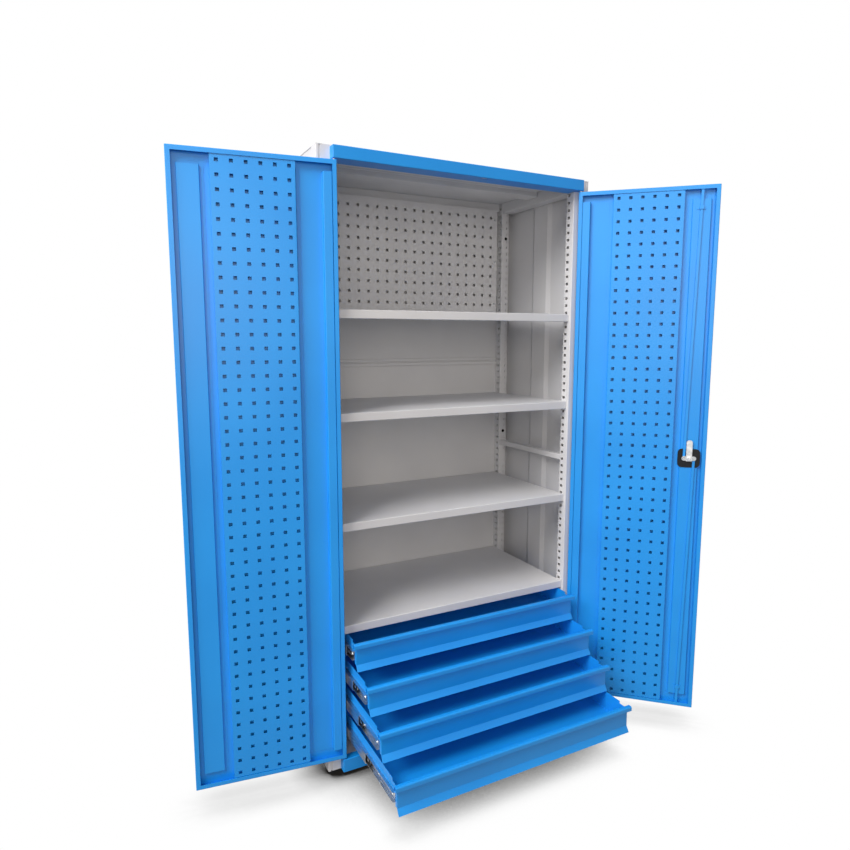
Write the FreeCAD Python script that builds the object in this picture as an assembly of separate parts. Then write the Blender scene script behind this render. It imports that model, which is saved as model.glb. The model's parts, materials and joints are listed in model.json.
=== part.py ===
import FreeCAD, Part
import math
import os

# Tool cabinet with two perforated doors, three shelves, a deck and four drawers.
# Millimetres. X to the right, Y into the cabinet, Z up. Origin: middle of the base, on the floor.
# The doors are built closed and then swung open, the drawers are built shut and then pulled out.

# Carcass sizes
body_width = 980.0
body_depth = 475.0
post_height = 1894.0
foot_height = 12.0
sheet = 1.5
thin_sheet = 1.2
overrun = 5.0
fit_gap = 1.0
edge_tolerance = 0.01

# Corner posts, folded from one strip
post_face = 62.0
post_flange = 39.0
post_skirt = 40.0
post_return = 30.0
post_hem = 8.0
groove_inset = 8.0
groove_width = 5.0
groove_depth = 3.0

# Rails and panels of the carcass
top_rail_height = 36.0
top_rail_drop = 3.0
top_rail_underside = 60.0
top_rail_hem = 12.0
base_rail_height = 43.0
rail_overlap = 21.0
side_rail_height = 38.0
side_rail_depth = 48.0
mid_rail_height = 20.0
mid_rail_depth = 20.0
mid_rail_level = 928.0
rear_rail_height = 28.0
rear_rail_depth = 14.0
rib_depth = 8.0
rib_slope = 18.0
rib_front = -27.0
rib_back = 51.0
roof_hat_width = 60.0
roof_hat_depth = 18.0
roof_hat_foot = 15.0
seam_level = 1264.0
seam_height = 28.0
seam_depth = 9.0
seam_groove = 4.0
seam_groove_depth = 6.0
seam_foot = 12.0

# Perforation of the three tool panels
hole_pitch = 38.0
hole_side = 10.0
board_rows = 10
board_side_gap = 10.0
board_side_margin = 29.0
board_top_margin = 32.0
board_standoff = 27.3
door_panel_inset = 100.0
door_panel_margin = 17.5
door_panel_shift = 3.0
door_panel_end_margin = 8.0

# Shelves and the deck over the drawers
shelf_levels = (1454.0, 1145.5, 806.0)
deck_level = 477.0
shelf_lip = 26.5
shelf_return = 14.0
shelf_setback = 10.0
clip_length = 19.0
clip_reach = 20.0
clip_drop = 23.0
clip_inset = 17.5

# Feet
foot_inset = 1.0
foot_taper = 4.0

# Doors
door_gap = 7.5
door_thickness = 19.0
door_sheet = 1.2
door_rim = 13.0
door_end_gap = 4.0
door_middle_gap = 3.0
left_door_angle = 187.8
right_door_angle = 136.4
panel_setback = 2.4
hinge_channel_width = 26.3
hinge_channel_end = 34.0
hinge_channel_setback = 1.6
hinge_channel_foot = 62.0
rim_gap = 0.3
hat_edge_inset = 25.1
hat_width = 58.0
hat_height = 8.8
hat_foot = 10.5
hat_end = 42.0

# Door pivots
pivot_inset = 6.0
pin_radius = 3.5
pin_in_rail = 9.0
pin_clearance = 0.06
running_gap = 0.3

# Lock on the right door
lock_level = 962.0
escutcheon_width = 84.0
escutcheon_height = 76.0
escutcheon_thickness = 5.0
escutcheon_round = 14.0
lock_body = 28.0
spindle_radius = 5.0
spindle_clearance = 0.06
handle_length = 62.0
handle_width = 15.0
handle_height = 20.0
handle_taper_share = 0.2
plate_width = 72.0
plate_height = 64.0
plate_thickness = 2.5
plate_round = 14.0
arm_radius = 16.0
arm_eye_radius = 7.5
arm_thickness = 3.0
latch_length = 63.0
latch_width = 19.0
latch_thickness = 3.0
latch_tail = 9.0
latch_corner_share = 0.25
rod_width = 8.0
rod_thickness = 3.0
rod_tail = 6.0
rod_end_gap = 2.0
guide_end = 70.0
guide_width = 30.0
guide_height = 12.0
guide_sheet = 1.2
guide_gap = 1.0
rod_catch_width = 24.0
rod_catch_depth = 9.0

# Drawers, the top one first
drawer_pitch = 91.5
drawer_top_gap = 1.5
drawer_out = (84.5, 184.5, 271.5, 377.0)
drawer_wall = 1.0
tray_height = 62.0
tray_depth = 434.0
front_height = 87.0
front_setback = 11.5
lip_overhang = 10.0
lip_depth = 14.0
lip_height = 15.0
lip_round = 5.0
face_step = 3.0
face_return = 8.0
flare_height = 18.0
flare_depth = 14.0
notch_depth = 8.0
notch_length = 30.0

# Three-part ball slides
slide_thickness = 13.0
slide_length = 428.0
slide_height = 35.0
slide_sheet = 1.2
slide_lift = 1.0
slide_setback = 10.0
slide_reach = 9.0

# Levels and planes that follow from the sizes above
half_width = body_width / 2
half_depth = body_depth / 2
inner_half = half_width - post_face
post_top = foot_height + post_height
front_plane = -half_depth - door_gap - door_thickness
rail_half = inner_half + rail_overlap
top_rail_top = post_top - top_rail_drop
top_rail_bottom = top_rail_top - top_rail_height
base_rail_top = foot_height + base_rail_height
door_bottom = base_rail_top + door_end_gap
door_top = top_rail_bottom - door_end_gap
door_width = rail_half - door_middle_gap / 2
back_sheet_front = half_depth - sheet - thin_sheet
shelf_front = -half_depth + shelf_setback
floor_level = foot_height + side_rail_height
pivot_x = rail_half - pivot_inset
pivot_y = front_plane + door_thickness / 2
lock_u = door_width - hat_edge_inset - hat_width / 2
hat_face = door_sheet + hat_height
plate_face = hat_face + plate_thickness
rod_base = plate_face + running_gap
arm_base = rod_base + rod_thickness + running_gap
latch_base = arm_base + arm_thickness
tray_front = -half_depth + front_setback + max(flare_depth, lip_depth)
tray_half = inner_half - slide_thickness
first_drawer_top = deck_level - shelf_lip - drawer_top_gap
drawer_count = len(drawer_out)


# How many holes on the pitch fit between two margins
def hole_count(room, margin):
    return 1 + int((room - 2 * margin) / hole_pitch)


board_columns = hole_count(2 * (inner_half - board_side_gap), board_side_margin)
door_columns = hole_count(door_width - 2 * door_panel_inset, door_panel_margin)
door_panel_height = door_top - door_bottom - 2 * (door_rim + rim_gap)
door_rows = hole_count(door_panel_height, door_panel_end_margin)

os.makedirs("parts", exist_ok=True)


def save(name, *solids):
    shape = solids[0] if len(solids) == 1 else Part.makeCompound(list(solids))
    shape.exportStep(os.path.join("parts", name + ".step"))


def box(x, y, z):
    low = FreeCAD.Vector(x[0], y[0], z[0])
    return Part.makeBox(x[1] - x[0], y[1] - y[0], z[1] - z[0], low)


def mirrored(shape, normal=(1, 0, 0)):
    return shape.mirror(FreeCAD.Vector(), FreeCAD.Vector(*normal))


# Outline of a sheet folded along a path; a positive gauge lies to the left of the path
def fold(path, gauge):
    lines = []
    for (u0, v0), (u1, v1) in zip(path, path[1:]):
        length = math.hypot(u1 - u0, v1 - v0)
        lines.append((u0, v0, (u1 - u0) / length, (v1 - v0) / length))
    offset = []
    for i, (u, v) in enumerate(path):
        before = lines[max(i - 1, 0)]
        after = lines[min(i, len(lines) - 1)]
        lean = 1 + before[2] * after[2] + before[3] * after[3]
        du = -(before[3] + after[3]) / lean
        dv = (before[2] + after[2]) / lean
        offset.append((u + gauge * du, v + gauge * dv))
    return list(path) + offset[::-1]


# Solid of an outline drawn across an axis and drawn out along it
def prism(outline, axis, ends):
    start, end = ends
    spread = {
        "x": lambda u, v: FreeCAD.Vector(start, u, v),
        "y": lambda u, v: FreeCAD.Vector(u, start, v),
        "z": lambda u, v: FreeCAD.Vector(u, v, start),
    }[axis]
    corners = [spread(u, v) for u, v in outline]
    face = Part.Face(Part.makePolygon(corners + corners[:1]))
    reach = {"x": (end - start, 0, 0), "y": (0, end - start, 0), "z": (0, 0, end - start)}[axis]
    return face.extrude(FreeCAD.Vector(*reach))


# Rounds the edges that run along an axis through the given places of its outline
def rounded(shape, axis, places, radius):
    number = "xyz".index(axis)
    first, second = [n for n in range(3) if n != number]
    chosen = []
    for edge in shape.Edges:
        a, b = edge.Vertexes[0].Point, edge.Vertexes[-1].Point
        if math.hypot(a[first] - b[first], a[second] - b[second]) > edge_tolerance:
            continue
        for u, v in places:
            if math.hypot(a[first] - u, a[second] - v) < edge_tolerance:
                chosen.append(edge)
    return shape.makeFillet(radius, chosen)


def cylinder(radius, base, direction, height):
    return Part.makeCylinder(radius, height, FreeCAD.Vector(*base), FreeCAD.Vector(*direction))


# Plate across Y with a grid of square holes, its middle at the given place
def perforated_plate(x, y, z, columns, rows):
    def frame(left, right, low, high):
        corners = [(left, low), (right, low), (right, high), (left, high), (left, low)]
        return Part.makePolygon([FreeCAD.Vector(u, y[0], w) for u, w in corners])

    middle_x, middle_z = (x[0] + x[1]) / 2, (z[0] + z[1]) / 2
    wires = [frame(x[0], x[1], z[0], z[1])]
    for column in range(columns):
        for row in range(rows):
            u = middle_x + (column - (columns - 1) / 2) * hole_pitch
            w = middle_z + (row - (rows - 1) / 2) * hole_pitch
            half = hole_side / 2
            wires.append(frame(u - half, u + half, w - half, w + half))
    face = Part.makeFace(wires, "Part::FaceMakerBullseye")
    return face.extrude(FreeCAD.Vector(0, y[1] - y[0], 0))


# Rounded rectangular plate across Y
def rounded_plate(middle, width, height, y, radius):
    x, z = middle
    plate = box((x - width / 2, x + width / 2), y, (z - height / 2, z + height / 2))
    places = [(x + sx * width / 2, z + sz * height / 2) for sx in (-1, 1) for sz in (-1, 1)]
    return rounded(plate, "y", places, radius)


# Corner posts
def make_posts():
    path = [
        (0, post_skirt),
        (0, 0),
        (groove_inset, 0),
        (groove_inset, groove_depth),
        (groove_inset + groove_width, groove_depth),
        (groove_inset + groove_width, 0),
        (post_face, 0),
        (post_face, post_flange),
        (post_face - post_return, post_flange),
        (post_face - post_return, post_flange - post_hem),
    ]
    outline = [(half_width - p, q - half_depth) for p, q in fold(path, sheet)]
    front_right = prism(outline, "z", (foot_height, post_top))
    rear_right = mirrored(front_right, (0, 1, 0))
    save("post_front_right", front_right)
    save("post_front_left", mirrored(front_right))
    save("post_rear_right", rear_right)
    save("post_rear_left", mirrored(rear_right))


# Foot blocks that cap the lower ends of the posts and taper towards the floor
def make_feet():
    foot_x = half_width - post_face / 2
    foot_y = half_depth - post_skirt / 2
    x, y = post_face / 2 - foot_inset, post_skirt / 2 - foot_inset
    low_x, low_y = x - foot_taper, y - foot_taper
    foot = Part.makeWedge(-low_x, 0, -low_y, -y, -x, low_x, foot_height, low_y, y, x)
    foot.rotate(FreeCAD.Vector(), FreeCAD.Vector(1, 0, 0), 90)
    feet = []
    for sx in (-1, 1):
        for sy in (-1, 1):
            feet.append(foot.translated(FreeCAD.Vector(sx * foot_x, sy * foot_y, 0)))
    save("feet", *feet)


# Side walls with one broad vertical rib, and the rails that tie the posts together
def make_sides():
    outer = half_width - sheet
    end = half_depth - sheet - fit_gap
    path = [
        (outer, -end),
        (outer, rib_front - rib_slope),
        (outer - rib_depth, rib_front),
        (outer - rib_depth, rib_back),
        (outer, rib_back + rib_slope),
        (outer, end),
    ]
    panel = prism(fold(path, thin_sheet), "z", (foot_height, post_top))
    save("side_panel_right", panel)
    save("side_panel_left", mirrored(panel))
    rails = []
    reach = half_depth - post_flange
    for low, height, depth in (
        (foot_height, side_rail_height, side_rail_depth),
        (mid_rail_level, mid_rail_height, mid_rail_depth),
        (post_top - side_rail_height, side_rail_height, side_rail_depth),
    ):
        inner = inner_half + sheet
        channel = [(inner + depth, low), (inner, low), (inner, low + height), (inner + depth, low + height)]
        rail = prism(fold(channel, -sheet), "y", (-reach, reach))
        rails += [rail, mirrored(rail)]
    save("side_rails", *rails)


# Blue front rails: channels open to the back, closed at their ends
def front_rail(low, high):
    section = [(-half_depth, high), (front_plane, high), (front_plane, low), (-half_depth, low)]
    rail = prism(fold(section, sheet), "x", (-rail_half, rail_half))
    for side in (-1, 1):
        x = sorted((side * rail_half, side * (rail_half - sheet)))
        cap = box(x, (front_plane, -half_depth), (low, high))
        rail = rail.fuse(cap)
    return rail.removeSplitter()


# Underside of the top rail, which goes on between the posts and is hemmed up at its back edge
def rail_underside(low):
    reach = inner_half - fit_gap
    back = front_plane + top_rail_underside
    path = [(-half_depth - sheet, low), (back, low), (back, low + top_rail_hem)]
    return prism(fold(path, sheet), "x", (-reach, reach))


def make_front_rails():
    catch_x = rail_half - lock_u
    catch_y = front_plane + rod_base + rod_thickness / 2
    for name, low, high, flange in (
        ("top_rail", top_rail_bottom, top_rail_top, top_rail_bottom),
        ("base_rail", foot_height, base_rail_top, base_rail_top - sheet),
    ):
        rail = front_rail(low, high)
        if name == "top_rail":
            rail = rail.fuse(rail_underside(low)).removeSplitter()
        for side in (-1, 1):
            base = (side * pivot_x, pivot_y, flange - overrun)
            rail = rail.cut(cylinder(pin_radius + pin_clearance, base, (0, 0, 1), sheet + 2 * overrun))
        catch = box(
            (catch_x - rod_catch_width / 2, catch_x + rod_catch_width / 2),
            (catch_y - rod_catch_depth / 2, catch_y + rod_catch_depth / 2),
            (flange - overrun, flange + sheet + overrun),
        )
        save(name, rail.cut(catch))


# Back of the cabinet
def make_back():
    split = seam_level + seam_height / 2
    ridge, floor = back_sheet_front - seam_depth, back_sheet_front - seam_depth + seam_groove_depth
    groove = (split - seam_groove / 2, split + seam_groove / 2)
    x = (-inner_half, inner_half)
    y = (back_sheet_front, back_sheet_front + thin_sheet)
    save("back_panel_lower", box(x, y, (foot_height, split)))
    save("back_panel_upper", box(x, y, (split, post_top)))
    reach = inner_half - fit_gap
    hat = [
        (back_sheet_front - thin_sheet, seam_level - seam_foot),
        (back_sheet_front - thin_sheet, seam_level),
        (ridge, seam_level),
        (ridge, groove[0]),
        (floor, groove[0]),
        (floor, groove[1]),
        (ridge, groove[1]),
        (ridge, seam_level + seam_height),
        (back_sheet_front - thin_sheet, seam_level + seam_height),
        (back_sheet_front - thin_sheet, seam_level + seam_height + seam_foot),
    ]
    save("back_seam_rail", prism(fold(hat, -thin_sheet), "x", (-reach, reach)))
    rails = []
    for low in (floor_level - rear_rail_height, post_top - rear_rail_height):
        y = back_sheet_front
        channel = [
            (y, low),
            (y - rear_rail_depth, low),
            (y - rear_rail_depth, low + rear_rail_height),
            (y, low + rear_rail_height),
        ]
        rails.append(prism(fold(channel, -thin_sheet), "x", (-reach, reach)))
    save("rear_rails", *rails)


# Tool board between the rear posts, a sheet with its two sides folded back onto the rear panel
def make_pegboard():
    half = (board_columns - 1) / 2 * hole_pitch + board_side_margin
    height = (board_rows - 1) * hole_pitch + 2 * board_top_margin
    top = post_top - rear_rail_height
    front = back_sheet_front - board_standoff
    path = [(-half, back_sheet_front), (-half, front), (half, front), (half, back_sheet_front)]
    save("back_pegboard", prism(fold(path, thin_sheet), "z", (top - height, top)))


# Roof sheet on the posts with a stiffening hat under it
def make_roof():
    roof = box((-half_width, half_width), (-half_depth, half_depth), (post_top, post_top + thin_sheet))
    save("roof_panel", roof)
    half = roof_hat_width / 2
    path = [
        (-half - roof_hat_foot, post_top - thin_sheet),
        (-half, post_top - thin_sheet),
        (-half, post_top - roof_hat_depth),
        (half, post_top - roof_hat_depth),
        (half, post_top - thin_sheet),
        (half + roof_hat_foot, post_top - thin_sheet),
    ]
    reach = inner_half - fit_gap
    save("roof_stiffener", prism(fold(path, thin_sheet), "x", (-reach, reach)))


# A shelf is a sheet folded down at its front and back edges
def shelf(top):
    back = back_sheet_front - fit_gap
    path = [
        (shelf_front + shelf_return, top - shelf_lip),
        (shelf_front, top - shelf_lip),
        (shelf_front, top),
        (back, top),
        (back, top - shelf_lip),
    ]
    reach = inner_half - fit_gap
    return prism(fold(path, -thin_sheet), "x", (-reach, reach))


# Four clips carry each shelf, one on the slotted flange of each post
def shelf_clips(top):
    seat = top - thin_sheet
    path = [(inner_half - clip_reach, seat), (inner_half, seat), (inner_half, seat - clip_drop)]
    start = -half_depth + clip_inset
    clip = prism(fold(path, -sheet), "y", (start, start + clip_length))
    rear = mirrored(clip, (0, 1, 0))
    return [clip, mirrored(clip), rear, mirrored(rear)]


def make_shelves():
    clips = []
    for number, top in enumerate(shelf_levels, 1):
        save(f"shelf_{number}", shelf(top))
        clips += shelf_clips(top)
    save("drawer_deck", shelf(deck_level))
    clips += shelf_clips(deck_level)
    save("shelf_clips", *clips)
    path = [
        (-half_depth + sheet, floor_level - shelf_lip),
        (-half_depth + sheet, floor_level + thin_sheet),
        (back_sheet_front - fit_gap, floor_level + thin_sheet),
    ]
    reach = inner_half - fit_gap
    save("floor_panel", prism(fold(path, -thin_sheet), "x", (-reach, reach)))


# Door places: u from the hinge edge, v from the outer face; the right door is shut at these places
def door_x(u):
    return rail_half - u


def door_y(v):
    return front_plane + v


def door_prism(path, gauge, ends):
    outline = [(door_x(u), door_y(v)) for u, v in fold(path, gauge)]
    return prism(outline, "z", ends)


def door_box(u, v, z):
    return box((door_x(u[1]), door_x(u[0])), (door_y(v[0]), door_y(v[1])), z)


# Pan with a rim folded in round its edge
def door_pan():
    g, t, rim = door_sheet, door_thickness, door_rim
    pan = door_box((0, door_width), (0, t), (door_bottom, door_top))
    hollow = door_box((g, door_width - g), (g, t - g), (door_bottom + g, door_top - g))
    window = door_box((rim, door_width - rim), (g, t + overrun), (door_bottom + rim, door_top - rim))
    return pan.cut(hollow.fuse(window))


def hinge_channel():
    near = door_rim + rim_gap
    far = near + hinge_channel_width
    face = door_thickness - hinge_channel_setback
    foot = 2 * door_sheet
    path = [(near, door_sheet), (near, face), (far, face), (far, foot), (far + hinge_channel_foot, foot)]
    return door_prism(path, -door_sheet, (door_bottom + hinge_channel_end, door_top - hinge_channel_end))


def hat_stiffener():
    far = door_width - hat_edge_inset
    near = far - hat_width
    foot = 2 * door_sheet
    path = [
        (near - hat_foot, foot),
        (near, foot),
        (near, hat_face),
        (far, hat_face),
        (far, foot),
        (far + hat_foot, foot),
    ]
    return door_prism(path, -door_sheet, (door_bottom + hat_end, door_top - hat_end))


def peg_panel():
    half = (door_columns - 1) / 2 * hole_pitch + door_panel_margin
    middle = door_width / 2 + door_panel_shift
    near, far = middle - half, middle + half
    face = door_thickness - panel_setback
    low = door_bottom + door_rim + rim_gap
    z = (low, low + door_panel_height)
    panel = perforated_plate(
        (door_x(far), door_x(near)), (door_y(face - door_sheet), door_y(face)), z, door_columns, door_rows
    )
    for u in (near, far - door_sheet):
        web = door_box((u, u + door_sheet), (door_sheet, face - door_sheet), z)
        panel = panel.fuse(web)
    return panel.removeSplitter()


# Pivot pins stand on the two ends of the door and run in the flanges of the front rails
def pivot_pins():
    pins = []
    for end, rail, out in ((door_top, top_rail_bottom, 1), (door_bottom, base_rail_top, -1)):
        pins.append(cylinder(pin_radius, (pivot_x, pivot_y, end), (0, 0, out), abs(rail - end) + pin_in_rail))
    return pins


# Opening a shut door about its pivots
def swung(shape, side):
    angle = right_door_angle if side > 0 else -left_door_angle
    turned = shape if side > 0 else mirrored(shape)
    turned = turned.copy()
    turned.rotate(FreeCAD.Vector(side * pivot_x, pivot_y, 0), FreeCAD.Vector(0, 0, 1), angle)
    return turned


# Square body of the lock, which passes through the door, its stiffener and the back plate
def lock_block(start, end):
    half = lock_body / 2
    x = door_x(lock_u)
    return box((x - half, x + half), (start, end), (lock_level - half, lock_level + half))


def make_doors():
    pan, channel, hat, panel = door_pan(), hinge_channel(), hat_stiffener(), peg_panel()
    pins = pivot_pins()
    x, z = door_x(lock_u), lock_level
    window = lock_block(front_plane - overrun, door_y(door_thickness) + overrun)
    slots = []
    for end in (door_bottom, door_top):
        slot = box(
            (x - rod_catch_width / 2, x + rod_catch_width / 2),
            (door_y(rod_base) - running_gap, door_y(rod_base + rod_thickness) + running_gap),
            (end - overrun, end + overrun),
        )
        slots.append(slot)
    lock_pan = pan.cut([window] + slots)
    for side, name, skin, stiffener in (
        (-1, "left_door", pan, hat),
        (1, "right_door", lock_pan, hat.cut(window)),
    ):
        save(name + "_skin", swung(skin, side))
        save(name + "_hinge_channel", swung(channel, side))
        save(name + "_stiffener", swung(stiffener, side))
        save(name + "_peg_panel", swung(panel, side))
        save(name + "_pivot_pins", *[swung(pin, side) for pin in pins])


# Turning lock of the right door: fixed case, turning handle with its cam, two sliding rods
def make_lock():
    x, z = door_x(lock_u), lock_level
    outside = front_plane - escutcheon_thickness
    case = rounded_plate(
        (x, z), escutcheon_width, escutcheon_height, (outside, front_plane), escutcheon_round
    )
    bore = cylinder(
        spindle_radius + spindle_clearance, (x, outside, z), (0, 1, 0), escutcheon_thickness + plate_face
    )
    case = case.fuse(lock_block(front_plane, door_y(plate_face))).removeSplitter()
    save("lock_escutcheon", swung(case.cut(bore), 1))
    plate = rounded_plate(
        (x, z), plate_width, plate_height, (door_y(hat_face), door_y(plate_face)), plate_round
    )
    plate = plate.cut(lock_block(door_y(hat_face) - overrun, door_y(plate_face) + overrun))
    save("lock_back_plate", swung(plate, 1))
    grip_face = outside - running_gap
    half, neck = handle_length / 2, handle_width / 2
    taper = handle_width * handle_taper_share
    grip = [
        (x - half, z - neck + taper), (x - taper, z - neck), (x + taper, z - neck), (x + half, z - neck + taper),
        (x + half, z + neck - taper), (x + taper, z + neck), (x - taper, z + neck), (x - half, z + neck - taper),
    ]
    handle = prism(grip, "y", (grip_face - handle_height, grip_face))
    spindle = cylinder(spindle_radius, (x, grip_face, z), (0, 1, 0), door_y(arm_base) - grip_face)
    save("lock_handle", swung(handle.fuse(spindle), 1))
    arm_y = (door_y(arm_base), door_y(arm_base + arm_thickness))
    arms = box((x - arm_radius, x + arm_radius), arm_y, (z - arm_eye_radius, z + arm_eye_radius))
    eyes = [
        cylinder(arm_eye_radius, (x + side * arm_radius, arm_y[0], z), (0, 1, 0), arm_thickness)
        for side in (-1, 1)
    ]
    save("lock_cam", swung(arms.fuse(eyes).removeSplitter(), 1))
    latch_y = (door_y(latch_base), door_y(latch_base + latch_thickness))
    side, cut = latch_width / 2, latch_width * latch_corner_share
    tip, tail = z + latch_length, z - latch_tail
    outline = [
        (x - side, tail), (x + side, tail), (x + side, tip - cut),
        (x + side - cut, tip), (x - side + cut, tip), (x - side, tip - cut),
    ]
    latch = prism(outline, "y", latch_y)
    save("lock_latch", swung(latch, 1))
    rod_y = (door_y(rod_base), door_y(rod_base + rod_thickness))
    guides = []
    for name, lean, out, end in (
        ("upper_lock_rod", arm_radius, 1, door_top),
        ("lower_lock_rod", -arm_radius, -1, door_bottom),
    ):
        tip = end - out * rod_end_gap
        tail = z - out * rod_tail
        half = rod_width / 2
        outline = [(x + lean - half, tail), (x + lean + half, tail), (x + half, tip), (x - half, tip)]
        save(name, swung(prism(outline, "y", rod_y), 1))
        middle = end - out * guide_end
        drift = lean * (tip - middle) / (tip - tail)
        inner = rod_width / 2 + guide_gap + guide_sheet
        bridge = rod_base + rod_thickness + running_gap + guide_sheet
        path = [
            (lock_u - drift - guide_width / 2, hat_face + guide_sheet),
            (lock_u - drift - inner, hat_face + guide_sheet),
            (lock_u - drift - inner, bridge),
            (lock_u - drift + inner, bridge),
            (lock_u - drift + inner, hat_face + guide_sheet),
            (lock_u - drift + guide_width / 2, hat_face + guide_sheet),
        ]
        z_ends = (middle - guide_height / 2, middle + guide_height / 2)
        guides.append(swung(door_prism(path, -guide_sheet, z_ends), 1))
    save("rod_guides", *guides)


# Drawer tray with notched side walls, shut
def tray(top):
    x, y, z = (-tray_half, tray_half), (tray_front, tray_front + tray_depth), (top - tray_height, top)
    w = drawer_wall
    inside = box((x[0] + w, x[1] - w), (y[0] + w, y[1] - w), (z[0] + w, top + overrun))
    notch = box(
        (x[0] - overrun, x[1] + overrun), (y[0] - overrun, y[0] + notch_length), (top - notch_depth, top + overrun)
    )
    return box(x, y, z).cut(inside.fuse(notch))


# Drawer front: a rolled grip lip on top, a flat face and a flared foot, folded from one sheet, with
# a cheek folded back along each side of the tray
def drawer_front(top):
    def section(points):
        return [(tray_front - forward, top - down) for forward, down in points]

    face_top, flare_top = lip_height, front_height - flare_height
    lip = [(0, lip_height), (0, 0), (lip_depth, 0), (lip_depth, lip_height), (face_step, lip_height)]
    lip_solid = prism(
        fold(section(lip), thin_sheet), "x", (-tray_half - lip_overhang, tray_half + lip_overhang)
    )
    inner_depth = lip_depth - thin_sheet
    lip_solid = rounded(lip_solid, "x", section([(inner_depth, thin_sheet)]), lip_round - thin_sheet)
    lip_solid = rounded(lip_solid, "x", section([(lip_depth, 0)]), lip_round)
    skirt = [
        (face_step, face_top - thin_sheet), (face_step, flare_top), (flare_depth, front_height),
    ]
    skirt_half = tray_half + thin_sheet
    skirt_solid = prism(fold(section(skirt), thin_sheet), "x", (-skirt_half, skirt_half))
    backing = box(
        (-tray_half, tray_half),
        (tray_front - face_step, tray_front),
        (top - tray_height, top - tray_height + face_step),
    )
    cheeks = [
        box(
            sorted((side * tray_half, side * skirt_half)),
            (tray_front - face_step, tray_front + face_return),
            (top - flare_top + fit_gap, top - lip_height - fit_gap),
        )
        for side in (-1, 1)
    ]
    return lip_solid.fuse([skirt_solid, backing] + cheeks).removeSplitter()


# One side's slide members, shut: s is the distance from the post flange, d the height from the middle
def slide_member(web, half_height, reach, toward_drawer, middle):
    tip = web + reach if toward_drawer else web - reach
    path = [(tip, -half_height), (web, -half_height), (web, half_height), (tip, half_height)]
    gauge = -slide_sheet if toward_drawer else slide_sheet
    outline = [(inner_half - s, middle + d) for s, d in fold(path, gauge)]
    start = tray_front + slide_setback
    return prism(outline, "y", (start, start + slide_length))


def both_sides(shape):
    return [shape, mirrored(shape)]


def moved(shape, out):
    placed = shape.copy()
    placed.translate(FreeCAD.Vector(0, -out, 0))
    return placed


def make_drawers():
    step = slide_sheet + running_gap
    fixed = []
    for number in range(drawer_count):
        top = first_drawer_top - number * drawer_pitch
        out = drawer_out[number]
        middle = top - tray_height + slide_lift + slide_height / 2
        half = slide_height / 2
        fixed += both_sides(slide_member(0, half, slide_reach, True, middle))
        between = slide_member(step, half - step, slide_reach, True, middle)
        carried = slide_member(slide_thickness, half - 2 * step, slide_reach, False, middle)
        name = f"drawer_{number + 1}"
        save(name + "_tray", moved(tray(top), out))
        save(name + "_front", moved(drawer_front(top), out))
        save(name + "_slide_inner", *[moved(s, out) for s in both_sides(carried)])
        save(name + "_slide_middle", *[moved(s, out / 2) for s in both_sides(between)])
    save("slide_outer_members", *fixed)


make_posts()
make_feet()
make_sides()
make_front_rails()
make_back()
make_pegboard()
make_roof()
make_shelves()
make_doors()
make_lock()
make_drawers()
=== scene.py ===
import json
import math
import bmesh
import bpy
from mathutils import Matrix, Vector


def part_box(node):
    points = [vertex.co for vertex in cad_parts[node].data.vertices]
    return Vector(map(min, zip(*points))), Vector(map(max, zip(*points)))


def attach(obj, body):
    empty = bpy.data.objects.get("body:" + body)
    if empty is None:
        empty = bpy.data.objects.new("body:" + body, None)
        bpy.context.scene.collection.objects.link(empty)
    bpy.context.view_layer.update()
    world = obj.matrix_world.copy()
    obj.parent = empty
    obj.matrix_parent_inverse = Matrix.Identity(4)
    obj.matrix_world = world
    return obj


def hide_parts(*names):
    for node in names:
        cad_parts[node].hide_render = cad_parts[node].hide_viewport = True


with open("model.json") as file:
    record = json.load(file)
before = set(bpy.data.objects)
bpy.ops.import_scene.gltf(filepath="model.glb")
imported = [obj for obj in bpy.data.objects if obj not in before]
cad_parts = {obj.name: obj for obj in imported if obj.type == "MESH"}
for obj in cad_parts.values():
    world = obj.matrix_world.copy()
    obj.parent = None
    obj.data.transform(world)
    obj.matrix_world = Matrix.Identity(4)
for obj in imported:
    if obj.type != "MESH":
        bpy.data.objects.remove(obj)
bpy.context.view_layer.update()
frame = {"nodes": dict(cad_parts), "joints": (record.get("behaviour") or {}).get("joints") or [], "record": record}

nodes = frame["nodes"]
record = frame["record"]
slotOf = {part["node"]: part["material_slot"] for part in record["subparts"]}
bodyOf = {node: body for body, held in record["behaviour"]["bodies"].items() for node in held}
drawers = range(1, 5)  # numbered from the top
upward = Vector((0, 0, 1))
mm = 0.001  # the frame is in metres, the sizes here are in mm


def linear(hexColour):
    # sRGB hex to scene linear
    parts = [int(hexColour[i:i + 2], 16) / 255 for i in (1, 3, 5)]
    return [c / 12.92 if c <= 0.04045 else ((c + 0.055) / 1.055) ** 2.4 for c in parts] + [1.0]


def addNode(tree, kind, settings=None, **links):
    # one node: settings are input values or attributes, links go to inputs by name, with underscores
    # for blanks, or by number as i0, i1
    node = tree.nodes.new(kind)
    for key, value in (settings or {}).items():
        if isinstance(key, int) or key in node.inputs:
            node.inputs[key].default_value = value
        else:
            setattr(node, key, value)
    for key, source in links.items():
        name = int(key[1:]) if key[0] == "i" and key[1:].isdigit() else key.replace("_", " ")
        tree.links.new(source, node.inputs[name])
    return node


# the middle range of a noise, which holds nearly all of it
cloudRange = (0.3, 0.7)


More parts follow.
